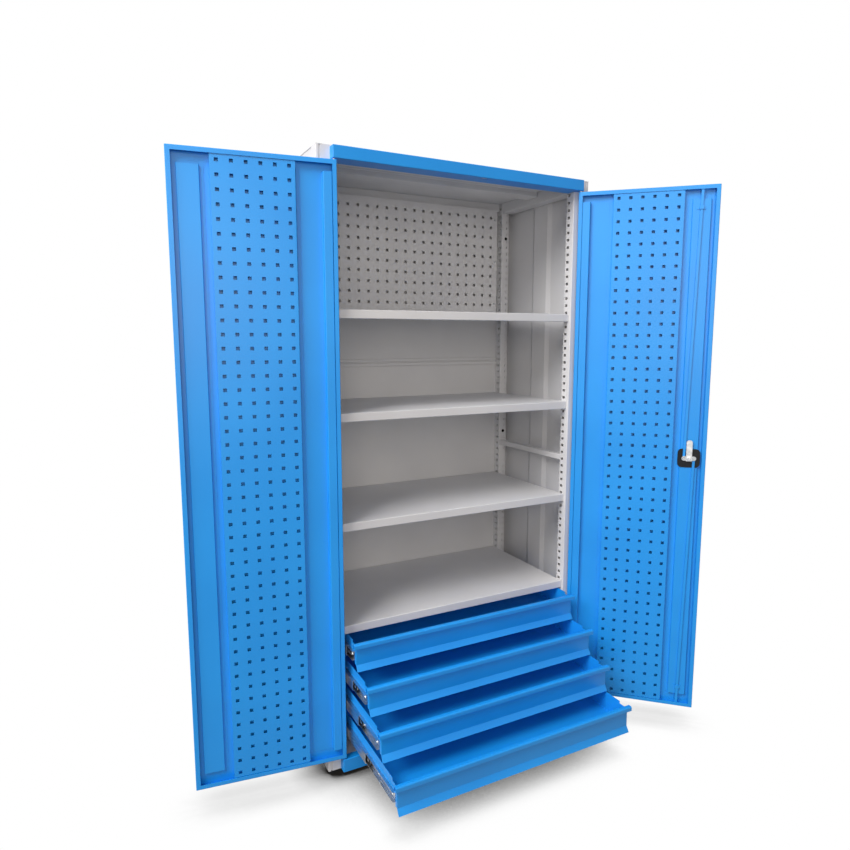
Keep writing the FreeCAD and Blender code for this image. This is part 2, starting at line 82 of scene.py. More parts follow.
def coating(name, look):
    # a coat on a surface: clouds vary its colour and gloss a little, a finer grain stands out of it
    material = bpy.data.materials.new(name)
    material.use_nodes = True
    tree = material.node_tree
    tree.nodes.clear()
    place = addNode(tree, "ShaderNodeTexCoord")
    drawn = addNode(tree, "ShaderNodeMapping", {"Scale": look["drawn"]}, Vector=place.outputs["Object"])
    cloud = addNode(
        tree, "ShaderNodeTexNoise", {"Scale": 1 / (look["cloudMm"] * mm), "Detail": look["cloudDetail"]},
        Vector=drawn.outputs["Vector"],
    )
    tint = addNode(tree, "ShaderNodeValToRGB", None, Fac=cloud.outputs["Fac"])
    for stop, share, colour in zip(tint.color_ramp.elements, cloudRange, (look["deep"], look["pale"])):
        stop.position = share
        stop.color = linear(colour)
    gloss = addNode(
        tree, "ShaderNodeMapRange",
        {"To Min": look["rough"] - look["roughVaries"], "To Max": look["rough"] + look["roughVaries"]},
        Value=cloud.outputs["Fac"],
    )
    grain = addNode(
        tree, "ShaderNodeTexNoise", {"Scale": 1 / (look["grainMm"] * mm), "Detail": look["grainDetail"]},
        Vector=drawn.outputs["Vector"],
    )
    bump = addNode(
        tree, "ShaderNodeBump", {"Strength": look["grain"], "Distance": look["grainHeightMm"] * mm},
        Height=grain.outputs["Fac"],
    )
    shader = addNode(
        tree, "ShaderNodeBsdfPrincipled", look["shader"],
        Base_Color=tint.outputs["Color"], Roughness=gloss.outputs["Result"], Normal=bump.outputs["Normal"],
    )
    addNode(tree, "ShaderNodeOutputMaterial", None, Surface=shader.outputs["BSDF"])
    return material


# powder coat baked on sheet steel: an even colour with a soft, low gloss. The real pebble, about 0.5 mm,
# is too fine to show and is drawn coarser
paint = {
    "cloudDetail": 2.0, "roughVaries": 0.04, "drawn": (1.0, 1.0, 1.0),
    "grainMm": 3.0, "grainDetail": 1.0, "grainHeightMm": 0.2,
    "shader": {"IOR": 1.5, "Metallic": 0.0, "Specular IOR Level": 0.5},
}
bluePaint = {**paint, "deep": "#128fe6", "pale": "#1a97ee", "cloudMm": 260.0, "rough": 0.4, "grain": 0.18}
whitePaint = {**paint, "deep": "#d3d5da", "pale": "#dcdee2", "cloudMm": 240.0, "rough": 0.45, "grain": 0.15}
# moulded polyamide: near black, with a faint sheen that the tool's eroded grain breaks up. The real grain,
# about 0.2 mm, is drawn coarser
blackMould = {
    **paint, "deep": "#0e1013", "pale": "#16191d", "cloudMm": 30.0, "rough": 0.42,
    "grainMm": 1.5, "grain": 0.3,
    "shader": {"IOR": 1.5, "Metallic": 0.0, "Specular IOR Level": 0.2},
}
# moulded rubber: dull and dark grey, with hardly a highlight. Its grain too is drawn coarser than it is
footRubber = {
    **paint, "deep": "#1b1c1e", "pale": "#28292c", "cloudMm": 25.0, "rough": 0.7,
    "grainMm": 2.0, "grain": 0.35,
    "shader": {"IOR": 1.5, "Metallic": 0.0, "Specular IOR Level": 0.3},
}
# plated steel: metal whose highlights are mottled by the bath. The marks, about 1 mm, are drawn coarser
plating = {
    "cloudDetail": 3.0, "roughVaries": 0.07, "grainDetail": 3.0, "grain": 0.15, "grainHeightMm": 0.1,
    "shader": {"Metallic": 1.0},
}
# zinc on rolled strip: pale grey and satin, its marks drawn out along the slides
zincPlate = {
    **plating, "deep": "#b4b8bc", "pale": "#d2d5d8", "cloudMm": 6.0, "grainMm": 6.0, "rough": 0.32,
    "drawn": (1.0, 0.12, 1.0),
}
# chrome on stampings: brighter and smoother, close to a mirror
chromePlate = {
    **plating, "deep": "#b9bdc0", "pale": "#ced1d3", "cloudMm": 9.0, "grainMm": 9.0, "rough": 0.16,
    "drawn": (1.0, 1.0, 1.0),
}
finish = {
    "blue_paint": coating("bluePowderCoat", bluePaint),
    "white_paint": coating("whitePowderCoat", whitePaint),
    "black_plastic": coating("blackPolyamide", blackMould),
    "foot_rubber": coating("footRubber", footRubber),
    "zinc_steel": coating("zincPlatedSteel", zincPlate),
    "chrome_plate": coating("chromePlatedSteel", chromePlate),
}
for name, obj in nodes.items():
    obj.data.materials.clear()
    obj.data.materials.append(finish[slotOf[name]])
print("finishes", len(finish))


# bends of the pressed sheets: sharp in the CAD, with a radius here. Lengths in mm, turns in degrees
fold = {
    "outer": 2.2, "inner": 1.2, "segments": 3, "profile": 0.5,
    "minFace": 6.0, "minLength": 12.0, "minTurn": 35.0,  # what counts as a bend, and not a cut edge
    "weld": 0.01, "flatTurn": 0.5,  # facets of one flat are joined first
    "strip": 3.0, "levelTurn": 4.0, "smoothTurn": 40.0,  # strips of a bend shade smoothly
    "flatWeight": 100,
}


def faceReach(face, edge):
    # how far a face goes from one of its edges
    a, b = (v.co for v in edge.verts)
    way = (b - a).normalized()
    return max(((v.co - a) - way * (v.co - a).dot(way)).length for v in face.verts)


def widthAt(face, edge):
    # how wide a face is across the middle of one of its edges: little more than the gauge on a cut end
    loop = next(l for l in face.loops if l.edge == edge)
    a, b = loop.vert.co, loop.link_loop_next.vert.co
    way, middle = (b - a).normalized(), (a + b) / 2
    inward = face.normal.cross(way)
    widths = []
    for other in face.loops:
        p, q = other.vert.co - middle, other.link_loop_next.vert.co - middle
        before, after = p.dot(way), q.dot(way)
        if other.edge != edge and before * after <= 0 and before != after:
            widths.append((p + (q - p) * before / (before - after)).dot(inward))
    return min((w for w in widths if w > fold["weld"] * mm), default=0.0)


def foldedCopy(name, flat=True):
    # a node's mesh with a radius on its long bends, first on the outer edges, then on the inner ones
    mesh = nodes[name].data.copy()
    work = bmesh.new()
    work.from_mesh(mesh)
    bmesh.ops.remove_doubles(work, verts=work.verts, dist=fold["weld"] * mm)
    if flat:
        bmesh.ops.dissolve_limit(
            work, angle_limit=math.radians(fold["flatTurn"]), verts=work.verts, edges=work.edges,
        )
    for inner in (False, True):
        work.normal_update()
        picked = []
        for edge in work.edges:
            if len(edge.link_faces) != 2 or edge.calc_length() < fold["minLength"] * mm:
                continue
            if edge.calc_face_angle(0) < math.radians(fold["minTurn"]) or edge.is_convex == inner:
                continue
            if min(widthAt(f, edge) for f in edge.link_faces) > fold["minFace"] * mm:
                picked.append(edge)
        if picked:
            bmesh.ops.bevel(
                work, geom=picked, offset=fold["inner" if inner else "outer"] * mm, offset_type="OFFSET",
                segments=fold["segments"], profile=fold["profile"], affect="EDGES",
                clamp_overlap=True, loop_slide=True,
            )
    work.to_mesh(mesh)
    work.free()
    return mesh


def plainMesh(obj):
    # what an object's modifiers make of it, as a mesh, with the modifiers gone
    seen = obj.evaluated_get(bpy.context.evaluated_depsgraph_get())
    mesh = bpy.data.meshes.new_from_object(seen)
    obj.modifiers.clear()
    return mesh


def smoothFolds(obj):
    # round bends shade smoothly, flats stay flat and cut edges crisp
    obj.data.shade_smooth()
    work = bmesh.new()
    work.from_mesh(obj.data)
    for edge in work.edges:
        edge.smooth = False
        if len(edge.link_faces) == 2:
            turn = math.degrees(edge.calc_face_angle(0))
            inBend = min(faceReach(f, edge) for f in edge.link_faces) < fold["strip"] * mm
            edge.smooth = turn < fold["levelTurn"] or (turn < fold["smoothTurn"] and inBend)
    work.to_mesh(obj.data)
    work.free()
    flats = obj.modifiers.new("flats", "WEIGHTED_NORMAL")
    flats.weight = fold["flatWeight"]
    flats.keep_sharp = True
    obj.data = plainMesh(obj)


def dress(name, mesh, *replaced, body=None, slot=None):
    # a finished piece: linked, painted, riding on its body
    obj = bpy.data.objects.new(name, mesh)
    bpy.context.scene.collection.objects.link(obj)
    slot = slot or slotOf[replaced[0]]
    obj.data.materials.clear()
    obj.data.materials.append(finish[slot])
    smoothFolds(obj)
    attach(obj, body or bodyOf[replaced[0]])
    if replaced:
        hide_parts(*replaced)


foldedNodes = [
    "top_rail", "base_rail", "side_panel_left", "side_panel_right",
    "shelf_1", "shelf_2", "shelf_3", "drawer_deck", "floor_panel",
    "rear_rails", "back_seam_rail", "roof_panel", "roof_stiffener", "side_rails",
    "left_door_skin", "left_door_hinge_channel", "left_door_stiffener",
    "right_door_skin", "right_door_hinge_channel", "right_door_stiffener",
]
for number in drawers:
    foldedNodes += [f"drawer_{number}_front", f"drawer_{number}_tray"]
for name in foldedNodes:
    dress(name + "_folded", foldedCopy(name), name)
print("folded sheets", len(foldedNodes))


def perforationTree():
    # a sheet whose grid lines run along the edges of its holes, with the hole cells taken out
    tree = bpy.data.node_groups.new("perforatedSheet", "GeometryNodeTree")
    face = tree.interface
    face.new_socket("Geometry", in_out="OUTPUT", socket_type="NodeSocketGeometry")
    for name, kind in (
        ("Columns", "Int"), ("Rows", "Int"), ("Pitch Across", "Float"), ("Pitch Up", "Float"),
        ("Hole Across", "Float"), ("Hole Up", "Float"), ("Left", "Float"), ("Right", "Float"),
        ("Low", "Float"), ("High", "Float"), ("Thickness", "Float"), ("Material", "Material"),
    ):
        face.new_socket(name, in_out="INPUT", socket_type="NodeSocket" + kind)
    start = addNode(tree, "NodeGroupInput")
    value = {socket.name: socket for socket in start.outputs if socket.name}
    value["index"] = addNode(tree, "GeometryNodeInputIndex").outputs[0]
    steps = [
        ("columns2", "MULTIPLY", "Columns", 2.0), ("linesX", "ADD", "columns2", 2.0),
        ("rows2", "MULTIPLY", "Rows", 2.0), ("linesY", "ADD", "rows2", 2.0),
        # which line across and up a corner lies on
        ("shareX", "DIVIDE", "index", "linesY"), ("lineX", "FLOOR", "shareX", 0.0),
        ("beforeX", "MULTIPLY", "lineX", "linesY"), ("lineY", "SUBTRACT", "index", "beforeX"),
        # which cell across and up a face is, holes being odd both ways
        ("cellsY", "SUBTRACT", "linesY", 1.0), ("cellShare", "DIVIDE", "index", "cellsY"),
        ("cellX", "FLOOR", "cellShare", 0.0), ("cellBefore", "MULTIPLY", "cellX", "cellsY"),
        ("cellY", "SUBTRACT", "index", "cellBefore"), ("oddX", "MODULO", "cellX", 2.0),
        ("oddY", "MODULO", "cellY", 2.0), ("isHole", "MULTIPLY", "oddX", "oddY"),
    ]
    for a, number, pitch, hole, low, high in (
        ("X", "Columns", "Pitch Across", "Hole Across", "Left", "Right"),
        ("Y", "Rows", "Pitch Up", "Hole Up", "Low", "High"),
    ):
        steps += [
            # lines in between are the two edges of a hole, by its number from the middle
            ("past" + a, "SUBTRACT", "line" + a, 1.0), ("pair" + a, "DIVIDE", "past" + a, 2.0),
            ("hole" + a, "FLOOR", "pair" + a, 0.0), ("twice" + a, "MULTIPLY", "hole" + a, 2.0),
            ("second" + a, "SUBTRACT", "past" + a, "twice" + a), ("side" + a, "SUBTRACT", "second" + a, 0.5),
            ("fewer" + a, "SUBTRACT", number, 1.0), ("half" + a, "DIVIDE", "fewer" + a, 2.0),
            ("from" + a, "SUBTRACT", "hole" + a, "half" + a), ("middle" + a, "MULTIPLY", "from" + a, pitch),
            ("reach" + a, "MULTIPLY", "side" + a, hole), ("inner" + a, "ADD", "middle" + a, "reach" + a),
            # the first and last lines are the edges of the sheet
            ("first" + a, "LESS_THAN", "line" + a, 0.5), ("end" + a, "SUBTRACT", "lines" + a, 1.5),
            ("last" + a, "GREATER_THAN", "line" + a, "end" + a), ("rim" + a, "ADD", "first" + a, "last" + a),
            ("kept" + a, "SUBTRACT", 1.0, "rim" + a), ("body" + a, "MULTIPLY", "kept" + a, "inner" + a),
            ("low" + a, "MULTIPLY", "first" + a, low), ("high" + a, "MULTIPLY", "last" + a, high),
            ("edge" + a, "ADD", "low" + a, "high" + a), ("at" + a, "ADD", "body" + a, "edge" + a),
        ]
    for name, operation, *sources in steps:
        node = addNode(tree, "ShaderNodeMath", {"operation": operation})
        for slot, source in zip(node.inputs, sources):
            if isinstance(source, str):
                tree.links.new(value[source], slot)
            else:
                slot.default_value = source
        value[name] = node.outputs[0]
    grid = addNode(
        tree, "GeometryNodeMeshGrid", {"Size X": 1.0, "Size Y": 1.0},
        Vertices_X=value["linesX"], Vertices_Y=value["linesY"],
    )
    corner = addNode(tree, "ShaderNodeCombineXYZ", None, X=value["atX"], Y=value["atY"])
    sheet = addNode(
        tree, "GeometryNodeSetPosition", None, Geometry=grid.outputs["Mesh"], Position=corner.outputs[0],
    )
    sheet = addNode(
        tree, "GeometryNodeDeleteGeometry", {"domain": "FACE"},
        Geometry=sheet.outputs[0], Selection=value["isHole"],
    )
    front = addNode(
        tree, "GeometryNodeExtrudeMesh", {"mode": "FACES", "Individual": False},
        Mesh=sheet.outputs[0], Offset_Scale=value["Thickness"],
    )
    back = addNode(tree, "GeometryNodeFlipFaces", None, Mesh=sheet.outputs[0])
    both = addNode(tree, "GeometryNodeJoinGeometry", None, Geometry=back.outputs[0])
    tree.links.new(front.outputs[0], both.inputs[0])
    weld = 0.05 * mm
    whole = addNode(tree, "GeometryNodeMergeByDistance", {"Distance": weld}, Geometry=both.outputs[0])
    whole = addNode(tree, "GeometryNodeRealizeInstances", None, Geometry=whole.outputs[0])
    whole = addNode(
        tree, "GeometryNodeSetMaterial", None, Geometry=whole.outputs[0], Material=value["Material"],
    )
    addNode(tree, "NodeGroupOutput", None, Geometry=whole.outputs[0])
    return tree


def fastenerTree():
    # screw heads on points: a low frustum with a socket in its top, turned to face each point's own way
    tree = bpy.data.node_groups.new("screwHeads", "GeometryNodeTree")
    face = tree.interface
    face.new_socket("Geometry", in_out="OUTPUT", socket_type="NodeSocketGeometry")
    face.new_socket("Geometry", in_out="INPUT", socket_type="NodeSocketGeometry")
    for name, kind in (
        ("Head Radius", "Float"), ("Top Radius", "Float"), ("Head Height", "Float"),
        ("Socket Share", "Float"), ("Socket Depth", "Float"), ("Material", "Material"),
    ):
        face.new_socket(name, in_out="INPUT", socket_type="NodeSocket" + kind)
    size = addNode(tree, "NodeGroupInput").outputs
    sides = 12
    head = addNode(
        tree, "GeometryNodeMeshCone", {"Vertices": sides},
        Radius_Bottom=size["Head Radius"], Radius_Top=size["Top Radius"], Depth=size["Head Height"],
    )
    ring = addNode(
        tree, "GeometryNodeExtrudeMesh", {"mode": "FACES", "Offset Scale": 0.0},
        Mesh=head.outputs["Mesh"], Selection=head.outputs["Top"],
    )
    rim = addNode(
        tree, "GeometryNodeScaleElements", None,
        Geometry=ring.outputs["Mesh"], Selection=ring.outputs["Top"], Scale=size["Socket Share"],
    )
    down = addNode(tree, "ShaderNodeMath", {"operation": "MULTIPLY", 1: -1.0}, i0=size["Socket Depth"])
    cup = addNode(
        tree, "GeometryNodeExtrudeMesh", {"mode": "FACES"},
        Mesh=rim.outputs[0], Selection=ring.outputs["Top"], Offset_Scale=down.outputs[0],
    )
    facing = addNode(tree, "GeometryNodeInputNamedAttribute", {"data_type": "FLOAT_VECTOR", "Name": "facing"})
    turn = addNode(
        tree, "FunctionNodeAlignRotationToVector", {"axis": "Z"}, Vector=facing.outputs["Attribute"],
    )
    heads = addNode(
        tree, "GeometryNodeInstanceOnPoints", None,
        Points=size["Geometry"], Instance=cup.outputs["Mesh"], Rotation=turn.outputs[0],
    )
    heads = addNode(tree, "GeometryNodeRealizeInstances", None, Geometry=heads.outputs[0])
    heads = addNode(
        tree, "GeometryNodeSetMaterial", None, Geometry=heads.outputs[0], Material=size["Material"],
    )
    addNode(tree, "NodeGroupOutput", None, Geometry=heads.outputs[0])
    return tree


def nodeMesh(tree, values, start=None):
    # a tree's result as a plain mesh
    obj = bpy.data.objects.new("nodeWork", start or bpy.data.meshes.new("nodeWork"))
    bpy.context.scene.collection.objects.link(obj)
    modifier = obj.modifiers.new("nodes", "NODES")
    modifier.node_group = tree
    for item in tree.interface.items_tree:
        if item.in_out == "INPUT" and item.name in values:
            modifier[item.identifier] = values[item.name]
    mesh = plainMesh(obj)
    bpy.data.objects.remove(obj)
    return mesh


perforated = perforationTree()
screwHeads = fastenerTree()


def standing(right, up, at):
    # stands a flat sheet up: its own X and Y go along right and up, its front looks along their cross
    out = Vector(right).cross(Vector(up))
    return Matrix.Translation(at) @ Matrix((right, up, out)).transposed().to_4x4()


def screws(places, look):
    # screw heads at (place, facing) pairs, as one mesh
    points = bpy.data.meshes.new("screwPoints")
    points.from_pydata([at for at, facing in places], [], [])
    way = points.attributes.new("facing", "FLOAT_VECTOR", "POINT")
    for item, (at, facing) in zip(way.data, places):
        item.vector = facing
    return nodeMesh(screwHeads, {
        "Head Radius": look["head"] / 2 * mm, "Top Radius": look["top"] / 2 * mm,
        "Head Height": look["height"] * mm, "Socket Share": look["socketShare"],
        "Socket Depth": look["socketDepth"] * mm, "Material": finish[look["slot"]],
    }, points)


# the perforated board at the back of the top bay, its four edges folded back to the rear panel
toolBoard = {"columns": 21, "rows": 10, "pitch": 38.0, "hole": 10.0, "sheet": 1.2}
low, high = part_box("back_pegboard")
middleX, middleZ = (low.x + high.x) / 2, (low.z + high.z) / 2
gauge = toolBoard["sheet"] * mm
board = nodeMesh(perforated, {
    "Columns": toolBoard["columns"], "Rows": toolBoard["rows"],
    "Pitch Across": toolBoard["pitch"] * mm, "Pitch Up": toolBoard["pitch"] * mm,
    "Hole Across": toolBoard["hole"] * mm, "Hole Up": toolBoard["hole"] * mm,
    "Left": low.x - middleX, "Right": high.x - middleX, "Low": low.z - middleZ, "High": high.z - middleZ,
    "Thickness": gauge, "Material": finish["white_paint"],
})
board.transform(standing((1, 0, 0), (0, 0, 1), (middleX, low.y + gauge, middleZ)))
work = bmesh.new()
work.from_mesh(board)
middle = Vector((middleX, (low.y + gauge + high.y) / 2, middleZ))
whole = Vector((high.x - low.x, high.y - low.y - gauge, high.z - low.z))
for axis, end, way in ((0, low.x, 1), (0, high.x, -1), (2, low.z, 1), (2, high.z, -1)):
    at, size = middle.copy(), whole.copy()
    at[axis], size[axis] = end + way * gauge / 2, gauge
    bmesh.ops.create_cube(work, size=1.0, matrix=Matrix.Translation(at) @ Matrix.Diagonal((*size, 1)))
work.to_mesh(board)
work.free()
dress("back_tool_board", board, "back_pegboard")
print("tool board", len(board.polygons))

# pan heads that hold the board to the rear posts
boardScrew = {
    "head": 9.0, "top": 6.4, "height": 2.6, "socketShare": 0.55, "socketDepth": 1.4, "slot": "zinc_steel",
    "inset": 9.0, "fromEnds": (38.0, 203.0, 368.0),
}
places = []
for side in (-1, 1):
    for rise in boardScrew["fromEnds"]:
        at = (side * (high.x - boardScrew["inset"] * mm), low.y, low.z + rise * mm)
        places.append((at, (0, -1, 0)))
dress("board_screws", screws(places, boardScrew), body="carcass", slot=boardScrew["slot"])

# slots of the posts' inner flanges for the shelf clips, and the narrower row in the rear posts' returns.
# flange and return are the planes of those sheets, and returnReach and returnArea tell a return's two
# broad faces, the area in square metres
postSlots = {
    "pitch": 25.0, "across": 13.0, "up": 9.0, "fromEdge": 13.0, "ends": 22.0, "sheet": 1.5, "slack": 0.2,
    "flange": 428.0, "return": 198.5, "returnReach": 459.0, "returnArea": 0.01, "level": 0.99,
}
returnSlots = {"across": 4.5, "up": 11.0, "fromCorner": 22.0}


def cutOut(work, test):
    # takes out the flat faces of a sheet that a perforated strip stands for, and gives their box
    gone = [f for f in work.faces if test(f)]
    corners = [v.co.copy() for f in gone for v in f.verts]
    bmesh.ops.delete(work, geom=gone, context="FACES")
    return [(min(c[i] for c in corners), max(c[i] for c in corners)) for i in range(3)]


def slotStrip(rows, slots, left, right, rise):
    # a strip with one column of slots, its edges measured from the middle of the column
    pitch = postSlots["pitch"] * mm
    return nodeMesh(perforated, {
        "Columns": 1, "Rows": rows, "Pitch Across": pitch, "Pitch Up": pitch,
        "Hole Across": slots["across"] * mm, "Hole Up": slots["up"] * mm,
        "Left": left, "Right": right, "Low": -rise, "High": rise,
        "Thickness": postSlots["sheet"] * mm, "Material": finish["white_paint"],
    })


def slottedPost(name):
    # a post's folded copy with a slotted inner flange and, at the rear, a slotted return
    low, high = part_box(name)
    sideX = -1 if high.x < 0 else 1
    sideY = -1 if high.y < 0 else 1
    gauge = postSlots["sheet"] * mm
    near = gauge + postSlots["slack"] * mm
    flangeX = postSlots["flange"] * mm
    returnY = sideY * postSlots["return"] * mm
    middleZ, rise = (low.z + high.z) / 2, (high.z - low.z) / 2
    rows = 1 + int((high.z - low.z - 2 * postSlots["ends"] * mm) / (postSlots["pitch"] * mm))

    def onFlange(face):
        return abs(face.normal.x) > postSlots["level"] and abs(face.calc_center_median().x) < flangeX + near

    def onReturn(face):
        at = face.calc_center_median()
        return (
            abs(face.normal.y) > postSlots["level"] and abs(at.y - returnY) < near
            and abs(at.x) < postSlots["returnReach"] * mm and face.calc_area() > postSlots["returnArea"]
        )

    mesh = foldedCopy(name)
    work = bmesh.new()
    work.from_mesh(mesh)
    box = cutOut(work, onFlange)
    slotY = returnY + sideY * postSlots["fromEdge"] * mm
    left, right = sorted(sideX * (slotY - y) for y in box[1])
    strip = slotStrip(rows, postSlots, left, right, rise)
    strip.transform(standing((0, -sideX, 0), (0, 0, 1), (sideX * (flangeX + gauge), slotY, middleZ)))
    work.from_mesh(strip)
    if sideY > 0:
        box = cutOut(work, onReturn)
        slotX = sideX * (flangeX + returnSlots["fromCorner"] * mm)
        strip = slotStrip(rows, returnSlots, box[0][0] - slotX, box[0][1] - slotX, rise)
        strip.transform(standing((1, 0, 0), (0, 0, 1), (slotX, returnY + gauge, middleZ)))
        work.from_mesh(strip)
    work.to_mesh(mesh)
    work.free()
    return mesh


posts = ("post_front_left", "post_front_right", "post_rear_left", "post_rear_right")
for name in posts:
    dress(name + "_slotted", slottedPost(name), name)
print("slotted posts", len(posts))

# black plugs over the bolts that tie the side rails to the rear posts
railPlug = {
    "head": 13.0, "top": 10.0, "height": 2.2, "socketShare": 0.7, "socketDepth": 0.8, "slot": "black_plastic",
    "levels": (985.0, 1769.0), "at": 447.0,
}
places = []
for side in (-1, 1):
    for level in railPlug["levels"]:
        places.append(((side * railPlug["at"] * mm, postSlots["return"] * mm, level * mm), (0, -1, 0)))
dress("rail_bolt_plugs", screws(places, railPlug), body="carcass", slot=railPlug["slot"])

# the doors' perforated panels keep their CAD holes, and their long folds get a radius
for side in ("left", "right"):
    name = side + "_door_peg_panel"
    dress(name + "_folded", foldedCopy(name, flat=False), name)
print("door panels")

# pan heads in the drawer members of the slides
slideScrew = {
    "head": 9.0, "top": 6.0, "height": 2.4, "socketShare": 0.5, "socketDepth": 1.3, "slot": "zinc_steel",
    "behindFront": (16.0, 108.0, 236.0, 364.0), "web": 416.25,
}
# the U-shaped plastic end of the ball cage, in the drawer member's channel ahead of the middle member
ballCage = {
    "ahead": 26.0, "behind": 3.0, "half": 12.4, "bar": 4.2, "bridge": 7.0, "round": 5.0,
    "inside": 419.3, "outside": 423.6, "slot": "black_plastic",
}
# the spring lever between the cage's bars that frees the drawer, with a round nose. The shoulders, where
# the nose runs into the strip above and below, are in nose radii
slideLever = {
    "half": 3.4, "nose": 6.0, "noseFrom": 70.0, "noseTo": 290.0, "noseSteps": 8, "shoulders": (3.0, 2.0),
    "inside": 420.4, "outside": 421.8, "slot": "zinc_steel",
}


def plate(outline, side, look, work):
    # a flat stamping in a slide: outline in Y and Z, thickness across, on one side of the cabinet
    near = [work.verts.new((side * look["inside"] * mm, y, z)) for y, z in outline]
    far = [work.verts.new((side * look["outside"] * mm, y, z)) for y, z in outline]
    count = len(outline)
    work.faces.new(near)
    work.faces.new(far[::-1])
    for i in range(count):
        work.faces.new((near[i], far[i], far[(i + 1) % count], near[(i + 1) % count]))


def arc(centre, radius, first, last, count=6):
    # points of an arc in Y and Z, angles in degrees
    angles = [math.radians(first + (last - first) * i / count) for i in range(count + 1)]
    return [(centre[0] + radius * math.cos(a), centre[1] + radius * math.sin(a)) for a in angles]


for number in drawers:
    low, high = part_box(f"drawer_{number}_slide_inner")
    middleZ = (low.z + high.z) / 2
    places = []
    for side in (-1, 1):
        for back in slideScrew["behindFront"]:
            places.append(((side * slideScrew["web"] * mm, low.y + back * mm, middleZ), (side, 0, 0)))
    dress(
        f"drawer_{number}_slide_screws", screws(places, slideScrew),
        body=f"drawer_{number}", slot=slideScrew["slot"],
    )
    low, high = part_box(f"drawer_{number}_slide_middle")
    front = low.y - ballCage["ahead"] * mm
    back = low.y + ballCage["behind"] * mm
    root = front + ballCage["bridge"] * mm
    bend = ballCage["round"] * mm
    half = ballCage["half"] * mm
    gap = half - ballCage["bar"] * mm
    cage = (
        [(back, middleZ - half), (back, middleZ - gap)]
        + arc((root + bend, middleZ - gap + bend), bend, 270, 180)
        + arc((root + bend, middleZ + gap - bend), bend, 180, 90)
        + [(back, middleZ + gap), (back, middleZ + half)]
        + arc((front + bend, middleZ + half - bend), bend, 90, 180)
        + arc((front + bend, middleZ - half + bend), bend, 180, 270)
    )
    tip = front + ballCage["bridge"] * mm / 2
    reach, nose = slideLever["half"] * mm, slideLever["nose"] * mm
    above, below = (tip + nose * share for share in slideLever["shoulders"])
    lever = (
        [(back, middleZ - reach), (back, middleZ + reach), (above, middleZ + reach)]
        + arc(
            (tip, middleZ + reach / 2), nose,
            slideLever["noseFrom"], slideLever["noseTo"], slideLever["noseSteps"],
        )
        + [(below, middleZ - reach)]
    )
    for name, outline, look in (("ball_cages", cage, ballCage), ("slide_levers", lever, slideLever)):
        work = bmesh.new()
        for side in (-1, 1):
            plate(outline, side, look, work)
        bmesh.ops.recalc_face_normals(work, faces=work.faces)
        mesh = bpy.data.meshes.new(name)
        work.to_mesh(mesh)
        work.free()
        dress(f"drawer_{number}_{name}", mesh, body=f"slide_{number}", slot=look["slot"])
print("slide screws, cages, levers")

# the nut on the lock's spindle, with the end of the stud standing out of it
lockNut = {
    "sides": 6, "flats": 15.0, "height": 5.5, "chamfer": 1.1, "slot": "zinc_steel",
    "stud": 8.0, "studOut": 3.0, "studChamfer": 0.8, "studTip": 0.6,
}
# the rivets that join the rods to the cam's arms
camRivet = {
    "head": 9.5, "top": 7.0, "height": 2.4, "socketShare": 0.5, "socketDepth": 1.2, "slot": "chrome_plate",
    "fromEnd": 7.0, "endReach": 2.0,
}
turn = next(j for j in frame["joints"] if j["name"] == "lock_turn")
centre, inward = Vector(turn["pos_m"]), -Vector(turn["axis"])
along = inward.cross(upward)
camPoints, latchPoints = (
    [nodes[name].matrix_world @ v.co - centre for v in nodes[name].data.vertices]
    for name in ("lock_cam", "lock_latch")
)
seat = max(
    p.dot(inward) for p in camPoints + latchPoints
    if (p - inward * p.dot(inward)).length < lockNut["flats"] * mm
)
corner, bolt = lockNut["flats"] / math.sqrt(3), lockNut["stud"] / 2
studEnd = lockNut["height"] + lockNut["studOut"]
work = bmesh.new()
rings = []
for radius, rise in (
    (corner, 0.0), (corner, lockNut["height"] - lockNut["chamfer"]),
    (lockNut["flats"] / 2 - lockNut["chamfer"] / 2, lockNut["height"]),
    (bolt, lockNut["height"]), (bolt, studEnd), (bolt - lockNut["studChamfer"], studEnd + lockNut["studTip"]),
):
    ring = []
    for i in range(lockNut["sides"]):
        a = 2 * math.pi * i / lockNut["sides"]
        outward = along * math.cos(a) + upward * math.sin(a)
        ring.append(work.verts.new(centre + inward * (seat + rise * mm) + outward * radius * mm))
    rings.append(ring)
for a, b in zip(rings, rings[1:]):
    for i in range(lockNut["sides"]):
        after = (i + 1) % lockNut["sides"]
        work.faces.new((a[i], a[after], b[after], b[i]))
work.faces.new(rings[0][::-1])
work.faces.new(rings[-1])
bmesh.ops.recalc_face_normals(work, faces=work.faces)
mesh = bpy.data.meshes.new("lockNut")
work.to_mesh(mesh)
work.free()
dress("lock_nut", mesh, body="lock", slot=lockNut["slot"])
armEnds = [min(p.dot(along) for p in camPoints), max(p.dot(along) for p in camPoints)]
fromEnd, endReach = camRivet["fromEnd"] * mm, camRivet["endReach"] * mm
places = []
for end in armEnds:
    at = end - math.copysign(fromEnd, end)
    rise = max(p.dot(inward) for p in camPoints if abs(p.dot(along) - at) < 2 * fromEnd)
    levels = [p.z for p in camPoints if abs(p.dot(along) - end) < endReach]
    places.append((centre + along * at + inward * rise + upward * sum(levels) / len(levels), inward))
dress("cam_rivets", screws(places, camRivet), body="lock", slot=camRivet["slot"])
print("lock nut and rivets", [round(e / mm, 1) for e in armEnds], round(seat / mm, 1))


